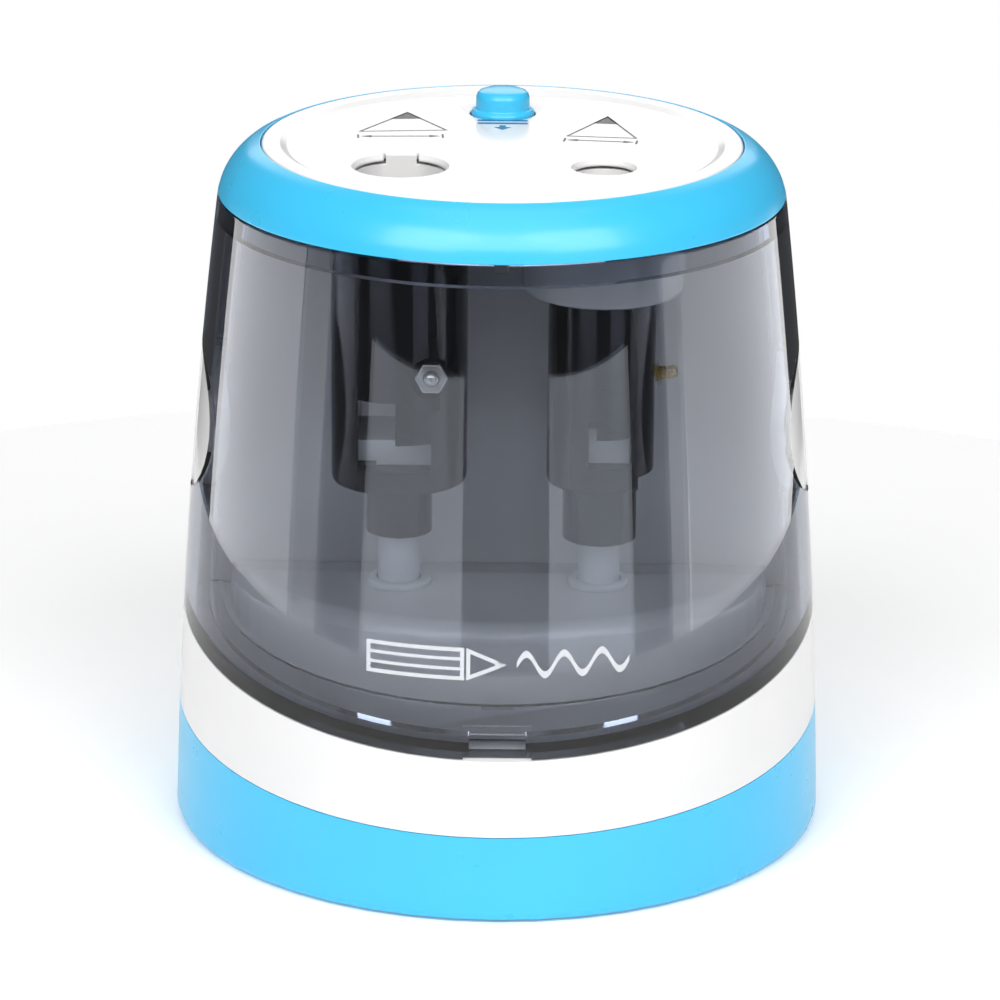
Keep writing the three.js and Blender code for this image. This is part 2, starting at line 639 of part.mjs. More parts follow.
// Chip windows as [from, to, low, high, depth past the axis]: the tall ones open right through.
const LEFT_WINDOWS = [[-5.5, -0.3, 58, 67.3, 12], [-3, 4.6, 57.4, 61.2, -0.8]];
const RIGHT_WINDOWS = [[-1.8, 3.9, 57.4, 61.6, -0.8], [-1.8, -0.7, 60, 64.4, 12]];
for (const [cutter, windows, flange, screwMaterial] of [
  [LEFT_CUTTER, LEFT_WINDOWS, 4.65, steel], [RIGHT_CUTTER, RIGHT_WINDOWS, 4.4, brass],
]) {
  addPart(`${cutter.side}_cutter_holder`, cutterHolder(cutter, windows), darkPlastic);
  addPart(`${cutter.side}_blade`, blade(cutter), steel);
  addPart(`${cutter.side}_blade_screw`, bladeScrew(cutter), screwMaterial);
  addPart(`${cutter.side}_blade_nut`, bladeNut(cutter), steel);
  addPart(`${cutter.side}_spindle`, spindle(cutter), nylonWhite);
  addPart(`${cutter.side}_bush`, bush(cutter.x, flange), nylonWhite);
}

// ---- Gears ----
function involute(angle) {
  return Math.tan(angle) - angle;
}

// Tooth outline with the middle of one tooth at the given phase angle.
function gearOutline(teeth, module, phase) {
  const pitch = teeth * module / 2;
  const base = pitch * Math.cos(PRESSURE_ANGLE);
  const radii = [pitch - 1.05 * module, pitch, pitch + 0.8 * module];
  const halfAtPitch = Math.PI / (2 * teeth) - BACKLASH / (2 * pitch);
  const halfAngles = radii.map((radius) => {
    const pressure = Math.acos(Math.min(1, base / radius));
    return halfAtPitch + involute(PRESSURE_ANGLE) - involute(pressure);
  });
  const points = [];
  for (let tooth = 0; tooth < teeth; tooth += 1) {
    const middle = phase + 2 * Math.PI * tooth / teeth;
    for (const [index, side] of [[0, -1], [1, -1], [2, -1], [2, 1], [1, 1], [0, 1]]) {
      const angle = middle + side * halfAngles[index];
      points.push([radii[index] * Math.cos(angle), radii[index] * Math.sin(angle)]);
    }
  }
  return points;
}

function gear(teeth, module, phase, bottom, top, centreX, centreY) {
  const outline = gearOutline(teeth, module, phase).map(([x, y]) => [x + centreX, y + centreY]);
  return prism(outline, bottom, top);
}

// Phase for a gear that meshes with another lying in the given direction from it.
function meshedPhase(drivingTeeth, drivingPhase, direction, teeth) {
  const fraction = 0.5 - (direction - drivingPhase) * drivingTeeth / (2 * Math.PI);
  return direction + Math.PI - fraction * 2 * Math.PI / teeth;
}

const towardsRight = Math.atan2(AXIS_Y - IDLER_Y, AXIS_X);
const towardsLeft = Math.atan2(AXIS_Y - IDLER_Y, -AXIS_X);
for (const [cutter, direction] of [[LEFT_CUTTER, towardsLeft], [RIGHT_CUTTER, towardsRight]]) {
  const phase = meshedPhase(IDLER_SMALL_TEETH, 0, direction, OUTPUT_TEETH);
  const wheel = gear(OUTPUT_TEETH, COARSE_MODULE, phase, 31.4, 34.2, cutter.x, AXIS_Y);
  const hub = rod(5, 31.4, 34.8, cutter.x, AXIS_Y, 16);
  const bore = rod(SPINDLE_RADIUS + TURNED_GAP, 20, 40, cutter.x, AXIS_Y, 16);
  addPart(`${cutter.side}_output_gear`, wheel.add(hub).subtract(bore), nylonWhite);
}

const idlerLarge = gear(IDLER_LARGE_TEETH, FINE_MODULE, 0, 28.2, 30.6, 0, IDLER_Y);
const idlerSmall = gear(IDLER_SMALL_TEETH, COARSE_MODULE, 0, 30.5, 34.4, 0, IDLER_Y);
addPart('idler_gear', idlerLarge.add(idlerSmall).subtract(rod(1.5, 20, 40, 0, IDLER_Y, 12)), nylonWhite);
addPart('idler_pin', rod(1.2, 24.6, 35, 0, IDLER_Y, 12), steel);

const motorPhase = meshedPhase(IDLER_LARGE_TEETH, 0, Math.PI / 2, MOTOR_TEETH);
const pinionWheel = gear(MOTOR_TEETH, FINE_MODULE, motorPhase, 28.2, 30.8, 0, MOTOR_Y);
addPart('motor_pinion', pinionWheel.subtract(rod(1.2, 20, 40, 0, MOTOR_Y, 12)), brass);
addPart('motor_shaft', rod(1, 3.2, 31.2, 0, MOTOR_Y, 12), steel);

// ---- Motor and gear plate ----
addPart('motor_can', turned(ringProfile([
  [1.3, 5.6], [10, 5.6], [10, 26.5], [9.4, 27.2], [3.2, 27.2], [3.2, 27.7], [1.3, 27.7],
]), 0, MOTOR_Y, 24), steel);
addPart('motor_end_cap', turned(ringProfile([
  [1.3, 2.3], [8.8, 2.3], [9.8, 3], [9.8, 5.5], [1.3, 5.5],
]), 0, MOTOR_Y, 24), nylonWhite);

function gearPlate() {
  let plate = prism(halfEllipse(28, 25, 0.4, 24), 24.5, 26.3);
  for (const { x } of [LEFT_CUTTER, RIGHT_CUTTER]) {
    plate = plate.subtract(rod(1.75, 20, 30, x, AXIS_Y, 20));
  }
  return plate.subtract(rod(1.3, 20, 30, 0, IDLER_Y, 18));
}
addPart('gear_plate', gearPlate(), nylonWhite);

export default sharpener;
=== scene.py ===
"""Battery pencil sharpener: finished surfaces, materials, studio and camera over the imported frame."""
import json
import math

import bmesh
import bpy
from mathutils import Matrix, Vector


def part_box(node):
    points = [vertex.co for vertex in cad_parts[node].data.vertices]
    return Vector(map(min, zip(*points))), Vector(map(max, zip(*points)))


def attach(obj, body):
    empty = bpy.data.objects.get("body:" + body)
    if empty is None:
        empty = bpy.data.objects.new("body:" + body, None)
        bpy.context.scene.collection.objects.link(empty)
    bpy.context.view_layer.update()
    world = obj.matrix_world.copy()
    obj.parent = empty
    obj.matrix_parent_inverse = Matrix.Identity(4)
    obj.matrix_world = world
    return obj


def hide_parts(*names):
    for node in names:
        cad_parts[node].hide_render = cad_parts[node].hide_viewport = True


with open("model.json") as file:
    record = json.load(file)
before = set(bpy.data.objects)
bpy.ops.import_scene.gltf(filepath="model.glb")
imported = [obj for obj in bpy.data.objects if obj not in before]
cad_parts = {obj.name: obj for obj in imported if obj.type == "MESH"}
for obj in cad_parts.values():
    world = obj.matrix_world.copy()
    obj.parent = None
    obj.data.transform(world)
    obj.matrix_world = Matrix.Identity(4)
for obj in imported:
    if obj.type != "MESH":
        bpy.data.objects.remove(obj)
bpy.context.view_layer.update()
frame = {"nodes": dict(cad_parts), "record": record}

MM = 0.001

# Sizes in millimetres that follow the solid model.
FOOT_RADIUS = 47
TAPER = 0.0252
TAPER_CURVE = 0.000523
HOUSING_WALL = 2.2
COVER_WALL = 1.7
COVER_FRAME = 3.6
DOOR_THICKNESS = 2
CROWN_BOTTOM = 92.5
PLATE_RADIUS = 34
PLATE_RIM_TOP = 99.6
PLATE_FACE = 99
BUTTON_TOP = 102.6
M2_RADIUS = 1

# Sizes in millimetres that only the finished pieces have.
THREAD_PITCH = 0.4
THREAD_TURNS = 12
THREAD_ROOT = 0.84
THREAD_CREST = 0.985
PLATE_PRINT_LIFT = 0.03
COVER_PRINT_LIFT = 0.04

# Edges that turn by more than these angles, in degrees, are rounded or stay sharp.
ROUNDED_FROM = 28.0
SHARP_FROM = 50

RECORD = frame["record"]
BODY_OF = {node: body for body, nodes in RECORD["behaviour"]["bodies"].items() for node in nodes}
SLOT_OF = {row["node"]: row["material_slot"] for row in RECORD["subparts"]}

# ---------------------------------------------------------------- materials


def new_material(name):
    material = bpy.data.materials.new(name)
    material.use_nodes = True
    nodes = material.node_tree.nodes
    return material, nodes, material.node_tree.links, nodes["Principled BSDF"]


def add_noise(nodes, links, scale, detail=3.0, stretch=None):
    """A noise texture in object space, in cells per metre."""
    place = nodes.new("ShaderNodeTexCoord")
    noise = nodes.new("ShaderNodeTexNoise")
    noise.inputs["Scale"].default_value = scale
    noise.inputs["Detail"].default_value = detail
    if stretch:
        mapping = nodes.new("ShaderNodeMapping")
        mapping.inputs["Scale"].default_value = stretch
        links.new(place.outputs["Object"], mapping.inputs["Vector"])
        links.new(mapping.outputs["Vector"], noise.inputs["Vector"])
    else:
        links.new(place.outputs["Object"], noise.inputs["Vector"])
    return noise


def add_ramp(nodes, links, source, stops):
    ramp = nodes.new("ShaderNodeValToRGB")
    elements = ramp.color_ramp.elements
    while len(elements) < len(stops):
        elements.new(0.5)
    for element, (position, color) in zip(elements, stops):
        element.position = position
        element.color = (*color, 1.0)
    links.new(source, ramp.inputs["Fac"])
    return ramp


def add_range(nodes, links, source, low, high):
    spread = nodes.new("ShaderNodeMapRange")
    spread.inputs["From Min"].default_value = 0.3
    spread.inputs["From Max"].default_value = 0.7
    spread.inputs["To Min"].default_value = low
    spread.inputs["To Max"].default_value = high
    links.new(source, spread.inputs["Value"])
    return spread


def add_bump(nodes, links, height, shader, strength, distance):
    bump = nodes.new("ShaderNodeBump")
    bump.inputs["Strength"].default_value = strength
    bump.inputs["Distance"].default_value = distance
    links.new(height, bump.inputs["Height"])
    links.new(bump.outputs["Normal"], shader.inputs["Normal"])
    return bump


def plastic(name, color, shade, rough, peel=0.00002, grain=900.0, coat=0.0, subsurface=0.0):
    """Moulded plastic: slow colour drift, handled patches in the gloss and a fine moulded skin."""
    material, nodes, links, shader = new_material(name)
    drift = add_noise(nodes, links, 45.0, 2.0)
    ramp = add_ramp(nodes, links, drift.outputs["Fac"], [(0.35, color), (0.7, shade)])
    links.new(ramp.outputs["Color"], shader.inputs["Base Color"])
    handled = add_noise(nodes, links, 130.0, 5.0)
    gloss = add_range(nodes, links, handled.outputs["Fac"], rough[0], rough[1])
    links.new(gloss.outputs["Result"], shader.inputs["Roughness"])
    skin = add_noise(nodes, links, grain, 2.0)
    add_bump(nodes, links, skin.outputs["Fac"], shader, 0.35, peel)
    shader.inputs["IOR"].default_value = 1.5
    shader.inputs["Coat Weight"].default_value = coat
    shader.inputs["Coat Roughness"].default_value = 0.05
    shader.inputs["Subsurface Weight"].default_value = subsurface
    shader.inputs["Subsurface Radius"].default_value = (0.002, 0.002, 0.002)
    return material


def metal(name, color, tarnish, rough, stretch=(1.0, 1.0, 1.0)):
    """Plated metal: brushed or machined streaks and a little tarnish."""
    material, nodes, links, shader = new_material(name)
    patches = add_noise(nodes, links, 400.0, 4.0)
    ramp = add_ramp(nodes, links, patches.outputs["Fac"], [(0.3, color), (0.75, tarnish)])
    links.new(ramp.outputs["Color"], shader.inputs["Base Color"])
    streaks = add_noise(nodes, links, 1500.0, 2.0, stretch)
    gloss = add_range(nodes, links, streaks.outputs["Fac"], rough[0], rough[1])
    links.new(gloss.outputs["Result"], shader.inputs["Roughness"])
    add_bump(nodes, links, streaks.outputs["Fac"], shader, 0.3, 0.00002)
    shader.inputs["Metallic"].default_value = 1.0
    return material


def smoked_glass():
    """Clear smoked plastic: tinted by its own thickness, with faint handling haze."""
    material, nodes, links, shader = new_material("smoke_clear")
    shader.inputs["Base Color"].default_value = (1.0, 1.0, 1.0, 1.0)
    shader.inputs["Transmission Weight"].default_value = 1.0
    shader.inputs["IOR"].default_value = 1.49
    haze = add_noise(nodes, links, 60.0, 4.0)
    gloss = add_range(nodes, links, haze.outputs["Fac"], 0.0, 0.035)
    links.new(gloss.outputs["Result"], shader.inputs["Roughness"])
    absorb = nodes.new("ShaderNodeVolumeAbsorption")
    absorb.inputs["Color"].default_value = (0.47, 0.52, 0.61, 1.0)
    absorb.inputs["Density"].default_value = 480.0
    links.new(absorb.outputs["Volume"], nodes["Material Output"].inputs["Volume"])
    return material


def jacket_material():
    """A cell's plain printed sleeve: two colours along its length."""
    material, nodes, links, shader = new_material("cell_sleeve")
    place = nodes.new("ShaderNodeTexCoord")
    split = nodes.new("ShaderNodeSeparateXYZ")
    links.new(place.outputs["Object"], split.inputs["Vector"])
    band = nodes.new("ShaderNodeMapRange")
    band.inputs["From Min"].default_value = 0.038
    band.inputs["From Max"].default_value = 0.089
    links.new(split.outputs["Z"], band.inputs["Value"])
    green, gold, bare = (0.05, 0.16, 0.08), (0.62, 0.5, 0.2), (0.6, 0.6, 0.58)
    stops = [(0.0, bare), (0.03, green), (0.7, green), (0.72, gold)]
    ramp = add_ramp(nodes, links, band.outputs["Result"], stops)
    ramp.color_ramp.interpolation = "CONSTANT"
    links.new(ramp.outputs["Color"], shader.inputs["Base Color"])
    scuffs = add_noise(nodes, links, 300.0, 5.0)
    gloss = add_range(nodes, links, scuffs.outputs["Fac"], 0.22, 0.4)
    links.new(gloss.outputs["Result"], shader.inputs["Roughness"])
    add_bump(nodes, links, scuffs.outputs["Fac"], shader, 0.2, 0.00002)
    return material


def ink(name, color):
    material, nodes, links, shader = new_material(name)
    grain = add_noise(nodes, links, 2500.0, 3.0)
    darker = tuple(0.86 * c for c in color)
    ramp = add_ramp(nodes, links, grain.outputs["Fac"], [(0.3, color), (0.8, darker)])
    links.new(ramp.outputs["Color"], shader.inputs["Base Color"])
    gloss = add_range(nodes, links, grain.outputs["Fac"], 0.35, 0.5)
    links.new(gloss.outputs["Result"], shader.inputs["Roughness"])
    return material


MATERIALS = {
    "blue_shell": plastic(
        "sky_blue_gloss", (0.05, 0.53, 0.87), (0.055, 0.55, 0.9), (0.27, 0.3), 0.000003, coat=0.1,
    ),
    "gloss_white": plastic(
        "white_gloss", (0.83, 0.82, 0.815), (0.8, 0.795, 0.795), (0.2, 0.27), 0.00001, coat=0.15,
    ),
    "nylon": plastic("white_nylon", (0.8, 0.81, 0.82), (0.74, 0.75, 0.76), (0.38, 0.5), 0.00004, 1800.0),
    "smoke_cover": smoked_glass(),
    "dark_plastic": plastic(
        "dark_smoke", (0.012, 0.012, 0.015), (0.018, 0.018, 0.022), (0.11, 0.17), 0.000008, 1400.0,
    ),
    "bright_steel": metal("plated_steel", (0.92, 0.91, 0.88), (0.8, 0.79, 0.76), (0.3, 0.45)),
    "brass": metal("brass_yellow", (0.72, 0.52, 0.22), (0.5, 0.35, 0.15), (0.2, 0.38)),
    "cell_jacket": jacket_material(),
}
INK_GREY = ink("ink_grey", (0.09, 0.08, 0.085))
INK_BLUE = ink("ink_blue", (0.02, 0.19, 0.42))
INK_WHITE = ink("ink_white", (0.66, 0.68, 0.71))

# ---------------------------------------------------------------- the body's outline


def skin_radius(z):
    """Radius of the body's outline at a height."""
    return FOOT_RADIUS - TAPER * z - TAPER_CURVE * z * z


def add_object(name, mesh, body, slot):
    piece = bpy.data.objects.new(name, mesh)
    bpy.context.scene.collection.objects.link(piece)
    mesh.materials.clear()
    mesh.materials.append(MATERIALS[slot])
    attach(piece, body)
    return piece


def bevel_and_shade(piece, width, segments=2):
    """Rounds the hard edges, then shades flat faces flat and curved faces smooth."""
    bevel = piece.modifiers.new("edge_round", "BEVEL")
    bevel.width = width * MM
    bevel.segments = segments
    bevel.limit_method = "ANGLE"
    bevel.angle_limit = math.radians(ROUNDED_FROM)
    bevel.use_clamp_overlap = True
    bevel.miter_outer = "MITER_ARC"
    bpy.context.view_layer.update()
    evaluated = piece.evaluated_get(bpy.context.evaluated_depsgraph_get())
    rounded = bpy.data.meshes.new_from_object(evaluated)
    old = piece.data
    piece.modifiers.clear()
    piece.data = rounded
    bpy.data.meshes.remove(old)
    rounded.name = piece.name
    for polygon in rounded.polygons:
        polygon.use_smooth = True
    rounded.set_sharp_from_angle(angle=math.radians(SHARP_FROM))
    weigh = piece.modifiers.new("flat_faces", "WEIGHTED_NORMAL")
    weigh.keep_sharp = True
    weigh.weight = 60


def node_bmesh(node):
    """The CAD node's solid, with flat faces made whole."""
    form = bmesh.new()
    form.from_mesh(frame["nodes"][node].data)
    bmesh.ops.remove_doubles(form, verts=form.verts, dist=2e-6)
    bmesh.ops.dissolve_limit(
        form, angle_limit=math.radians(0.4), verts=form.verts, edges=form.edges,
        use_dissolve_boundaries=False,
    )
    return form


def round_skin(form, insets, columns=192, row=4.0):
    """Cuts the faceted skin into fine columns and rows, and moves them out to the true curve."""

    def skin_faces():
        found = []
        for face in form.faces:
            centre = face.calc_center_median()
            radius = math.hypot(centre.x, centre.y)
            if radius < 33 * MM:
                continue
            out = abs(face.normal.x * centre.x + face.normal.y * centre.y) / radius
            if out > 0.93:
                found.append(face)
        return found

    def cut(point, normal):
        faces = skin_faces()
        edges = {edge for face in faces for edge in face.edges}
        verts = {vert for face in faces for vert in face.verts}
        bmesh.ops.bisect_plane(
            form, geom=[*faces, *edges, *verts], plane_co=point, plane_no=normal, dist=1e-6,
        )

    for k in range(columns // 2):
        turn = 2 * math.pi * k / columns
        cut((0, 0, 0), (math.cos(turn), math.sin(turn), 0))
    heights = [vert.co.z / MM for vert in form.verts]
    z = math.ceil(min(heights) / row) * row
    while z < max(heights):
        cut((0, 0, z * MM), (0, 0, 1))
        z += row
    for vert in {vert for face in skin_faces() for vert in face.verts}:
        radius = math.hypot(vert.co.x, vert.co.y) / MM
        depth = skin_radius(vert.co.z / MM) - radius
        fits = [inset for inset in insets if -0.02 <= depth - inset <= 0.2]
        if fits:
            scale = (skin_radius(vert.co.z / MM) - max(fits)) / radius
            vert.co.x *= scale
            vert.co.y *= scale


def finish_node(node, width=0.2, segments=2, insets=None, edit=None):
    """A finished piece from a CAD node: welded, rounded, edge-broken and shaded, in place of the node."""
    form = node_bmesh(node)
    if insets is not None:
        round_skin(form, insets)
    if edit:
        edit(form)
    mesh = bpy.data.meshes.new(node + "_finish")
    form.to_mesh(mesh)
    form.free()
    piece = add_object(node + "_finish", mesh, BODY_OF[node], SLOT_OF[node])
    bevel_and_shade(piece, width, segments)
    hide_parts(node)
    return piece


def lathe_mesh(name, profile, steps, closed, matrix):
    """Turns [radius, height] points in millimetres about Z, then places them with the matrix."""
    form = bmesh.new()
    rings = []
    for radius, height in profile:
        if radius < 1e-6:
            rings.append([form.verts.new((0, 0, height * MM))])
            continue
        ring = []
        for k in range(steps):
            turn = 2 * math.pi * k / steps
            x, y = radius * MM * math.sin(turn), -radius * MM * math.cos(turn)
            ring.append(form.verts.new((x, y, height * MM)))
        rings.append(ring)
    pairs = list(zip(rings, rings[1:]))
    if closed:
        pairs.append((rings[-1], rings[0]))
    for low, high in pairs:
        for k in range(steps):
            after = k + 1
            corners = [
                low[k % len(low)], low[after % len(low)],
                high[after % len(high)], high[k % len(high)],
            ]
            unique = list(dict.fromkeys(corners))
            if len(unique) > 2:
                form.faces.new(unique)
    form.transform(matrix)
    bmesh.ops.recalc_face_normals(form, faces=form.faces)
    mesh = bpy.data.meshes.new(name)
    form.to_mesh(mesh)
    form.free()
    return mesh


def smooth_profile(points, steps=6):
    """A Catmull-Rom curve through the points."""
    padded = [points[0], *points, points[-1]]
    curve = []
    for a, b, c, d in zip(padded, padded[1:], padded[2:], padded[3:]):
        for k in range(steps):
            t = k / steps
            curve.append(tuple(
                0.5 * (2 * q + (r - p) * t + (2 * p - 5 * q + 4 * r - s) * t * t
                       + (3 * q - p - 3 * r + s) * t ** 3)
                for p, q, r, s in zip(a, b, c, d)
            ))
    curve.append(points[-1])
    return curve


def finish_lathe(node, profile, steps=96, closed=False, centre=(0, 0), width=0.15):
    matrix = Matrix.Translation((centre[0] * MM, centre[1] * MM, 0))
    mesh = lathe_mesh(node + "_finish", profile, steps, closed, matrix)
    piece = add_object(node + "_finish", mesh, BODY_OF[node], SLOT_OF[node])
    bevel_and_shade(piece, width)
    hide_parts(node)
    return piece


# ---------------------------------------------------------------- outer shells

# Each shell's edge rounding, its segments, and how far its curved faces lie inside the body's outline.
SHELLS = {
    "base_shell": (0.25, 2, [0, HOUSING_WALL]),
    "middle_housing": (0.25, 2, [0, 1, HOUSING_WALL]),
    "rear_housing": (0.3, 2, [0, 0.35, DOOR_THICKNESS, 2.4, 3.4, 4]),
    "battery_door": (0.35, 3, [0, DOOR_THICKNESS]),
    "front_cover": (0.4, 3, [0, COVER_WALL, COVER_FRAME]),
}
for shell, (rounding, rounds, insets) in SHELLS.items():
    finish_node(shell, rounding, rounds, insets=insets)

CROWN_BORE = PLATE_RADIUS + 0.15
CROWN_OUTSIDE = [
    (40.2, CROWN_BOTTOM), (39.5, 94.6), (38.2, 96.7), (36.3, 98.5), (CROWN_BORE, PLATE_RIM_TOP),
]
CROWN_INSIDE = [(CROWN_BORE, 97.8), (31.9, 97.8), (31.9, 96.4), (35.2, 96.4), (37.8, CROWN_BOTTOM)]
CROWN = [*smooth_profile(CROWN_OUTSIDE), *CROWN_INSIDE]
finish_lathe("crown_ring", CROWN, steps=192, closed=True, width=0.2)


def round_plate(form):
    """Fine rings for the plate's rim, in place of its facets."""
    for k in range(96):
        turn = math.pi * k / 96
        faces = [
            face for face in form.faces
            if face.calc_center_median().to_2d().length > 29 * MM and abs(face.normal.z) < 0.95
        ]
        edges = {edge for face in faces for edge in face.edges}
        verts = {vert for face in faces for vert in face.verts}
        bmesh.ops.bisect_plane(
            form, geom=[*faces, *edges, *verts], plane_co=(0, 0, 0),
            plane_no=(math.cos(turn), math.sin(turn), 0), dist=1e-6,
        )
    for vert in form.verts:
        radius = math.hypot(vert.co.x, vert.co.y) / MM
        for ring in (PLATE_RADIUS, 33.7, 31.4, 30.4):
            if 0 <= ring - radius < 0.12:
                vert.co.x *= ring / radius
                vert.co.y *= ring / radius
                break


finish_node("top_plate", 0.15, edit=round_plate)

BUTTON_LOW, BUTTON_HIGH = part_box("button_cap")
BUTTON_Y = BUTTON_LOW.y / MM / 2 + BUTTON_HIGH.y / MM / 2
BUTTON_FOOT = [
    (0, 94.9), (1.6, 94.9), (1.6, 96.1), (5.7, 96.1), (5.7, 97.5), (4.55, 97.5), (4.55, 99.4), (4.2, 99.7),
]
BUTTON_DOME = [
    (3.9, 99.8), (3.9, 101.1), (3.86, 101.5), (3.72, 101.9), (3.4, 102.25), (2.8, 102.48),
    (1.5, BUTTON_TOP), (0, BUTTON_TOP),
]
finish_lathe("button_cap", [*BUTTON_FOOT, *BUTTON_DOME], steps=72, centre=(0, BUTTON_Y), width=0.2)

# ---------------------------------------------------------------- screw threads


def tip_of(form):
    """Centre and outward direction of the flat end of a screw's shank."""
    centroid = sum((vert.co for vert in form.verts), Vector()) / len(form.verts)
    ends = [face for face in form.faces if len(face.verts) >= 8]
    cap = max(ends, key=lambda face: (face.calc_center_median() - centroid).length)
    return cap.calc_center_median(), cap.normal.copy()


def slim_shank(form):
    """Thins the shank to the root of its thread."""
    tip, out = tip_of(form)
    for vert in form.verts:
        along = (vert.co - tip).dot(out)
        spoke = vert.co - tip - out * along
        if 0.5 * M2_RADIUS * MM < spoke.length < 1.1 * M2_RADIUS * MM:
            vert.co -= spoke * 0.22
            if along > -0.01 * MM:
                vert.co -= out * 0.1 * MM


def add_thread(node):
    """The threaded length of a blade screw, with a domed tip."""
    form = node_bmesh(node)
    tip, out = tip_of(form)
    form.free()
    profile = [(0, 0), (0.5, -0.04), (0.76, -0.18), (0.86, -0.36)]
    for k in range(THREAD_TURNS):
        start = -0.42 - k * THREAD_PITCH
        profile += [
            (THREAD_ROOT, start), (THREAD_CREST, start - 0.14), (THREAD_CREST, start - 0.22),
            (THREAD_ROOT, start - 0.36),
        ]
    matrix = Matrix.Translation(tip) @ out.to_track_quat("Z", "Y").to_matrix().to_4x4()
    mesh = lathe_mesh(node + "_thread", profile, 32, False, matrix)
    piece = add_object(node + "_thread", mesh, BODY_OF[node], SLOT_OF[node])
    for polygon in piece.data.polygons:
        polygon.use_smooth = True
    piece.data.set_sharp_from_angle(angle=math.radians(35))


# ---------------------------------------------------------------- all other CAD nodes
for node in BODY_OF:
    if node in SHELLS or node in {"crown_ring", "top_plate", "button_cap"}:
        continue
    if node.endswith("_blade_screw"):
        finish_node(node, 0.08, edit=slim_shank)
        add_thread(node)
    elif node.endswith("_nut"):
        finish_node(node, 0.22, 3)
    else:
        thin = any(word in node for word in ("screw", "blade", "contact", "link"))
        finish_node(node, 0.08 if thin else 0.15)

# ---------------------------------------------------------------- prints


def flat_print(name, polygons, material, body, place):
    """Thin printed shapes: 2-D polygons cut into short strips and laid on a surface by place()."""
    form = bmesh.new()
    for polygon in polygons:
        form.faces.new([form.verts.new((x * MM, y * MM, 0)) for x, y in polygon])
    for k in range(-30, 31):
        bmesh.ops.bisect_plane(
            form, geom=[*form.verts, *form.edges, *form.faces],
            plane_co=(k * MM, 0, 0), plane_no=(1, 0, 0), dist=1e-7,
        )
    for vert in form.verts:
        vert.co = place(vert.co.x / MM, vert.co.y / MM) * MM
    mesh = bpy.data.meshes.new(name)
    form.to_mesh(mesh)
    form.free()
    piece = bpy.data.objects.new(name, mesh)
    bpy.context.scene.collection.objects.link(piece)
    mesh.materials.append(material)
    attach(piece, body)
    return piece


def on_plate(x, y):
    """Just over the top plate's face."""
    return Vector((x, y, PLATE_FACE + PLATE_PRINT_LIFT))


def on_cover(x, z):
    """Just outside the front cover's curved face."""
    radius = skin_radius(z) + COVER_PRINT_LIFT
    return Vector((x, -math.sqrt(radius * radius - x * x), z))


def outline(points, inner):
    """The band between two matching closed outlines, as quads."""
    count = len(points)
    return [[points[k], points[(k + 1) % count], inner[(k + 1) % count], inner[k]] for k in range(count)]


def shrink(points, amount):
    """A triangle or convex outline moved inwards by amount."""
    count = len(points)
    moved = []
    for k in range(count):
        before, here, after = (Vector(points[(k + j) % count]) for j in (-1, 0, 1))
        first = (here - before).normalized()
        second = (after - here).normalized()
        normal_a = Vector((-first.y, first.x))
        normal_b = Vector((-second.y, second.x))
        bisector = (normal_a + normal_b).normalized()
        moved.append(tuple(here + bisector * (amount / max(0.2, bisector.dot(normal_a)))))
    return moved


def tip_icon(left, right, apex):
    """A sharpened pencil tip: thin outline and dark lead."""
    triangle = [left, right, apex]
    lead_left = tuple(Vector(apex).lerp(Vector(left), 0.36))
    lead_right = tuple(Vector(apex).lerp(Vector(right), 0.36))
    return [*outline(triangle, shrink(triangle, 0.3)), [lead_left, lead_right, apex]]


def size_line(left, right):
    """A dimension line with ticks and arrow heads."""
    along = (Vector(right) - Vector(left)).normalized()
    across = Vector((-along.y, along.x))

    def at(base, forward, sideways):
        return tuple(Vector(base) + along * forward + across * sideways)

    shapes = [
        [at(left, 1.9, -0.16), at(right, -1.9, -0.16), at(right, -1.9, 0.16), at(left, 1.9, 0.16)],
        [at(left, 0.3, 0), at(left, 1.9, -0.6), at(left, 1.9, 0.6)],
        [at(right, -0.3, 0), at(right, -1.9, 0.6), at(right, -1.9, -0.6)],
    ]
    for base in (left, right):
        shapes.append([at(base, -0.15, -1), at(base, 0.15, -1), at(base, 0.15, 1), at(base, -0.15, 1)])
    return shapes


def bar(left, right, bottom, top):
    """An upright rectangle."""
    return [(left, bottom), (right, bottom), (right, top), (left, top)]


LARGE_TIP = tip_icon((-20.6, 7.0), (-7.8, 8.2), (-13.8, 19.0))
SMALL_TIP = tip_icon((9.0, 5.4), (19.2, 4.3), (15.2, 17.5))
flat_print("large_tip_icon", LARGE_TIP, INK_GREY, "housing", on_plate)
flat_print("small_tip_icon", SMALL_TIP, INK_GREY, "housing", on_plate)
flat_print("large_size_line", size_line((-20.5, 4.3), (-8.5, 4.8)), INK_GREY, "housing", on_plate)
flat_print("small_size_line", size_line((8.8, 3.3), (19.0, 2.1)), INK_GREY, "housing", on_plate)
ARROW = [
    [(-0.45, 11.4), (-0.45, 10.4), (0.45, 10.4), (0.45, 11.4)], [(-1.3, 10.4), (0, 8.8), (1.3, 10.4)],
]
TWO_BARS = [bar(-3.6, 3.6, 12.2, 13.1), bar(-3.6, 3.6, 13.9, 14.8)]
flat_print("press_arrow", [*ARROW, *TWO_BARS], INK_BLUE, "housing", on_plate)

PRINT_MIDDLE = 37.5
WAVE_START, WAVE_LENGTH, WAVE_HEIGHT, WAVE_STEPS = 2.6, 15.4, 1.5, 48
WAVE_TURN = 1.22
WAVE_HALF_STROKE = 0.5
PENCIL = bar(-18, -4.6, 35.2, 39.8)
POINT = [(-4.3, 35.2), (1.4, PRINT_MIDDLE), (-4.3, 39.8)]
LINES = [bar(-17.6, -5.0, z - 0.22, z + 0.22) for z in (36.8, 38.2)]


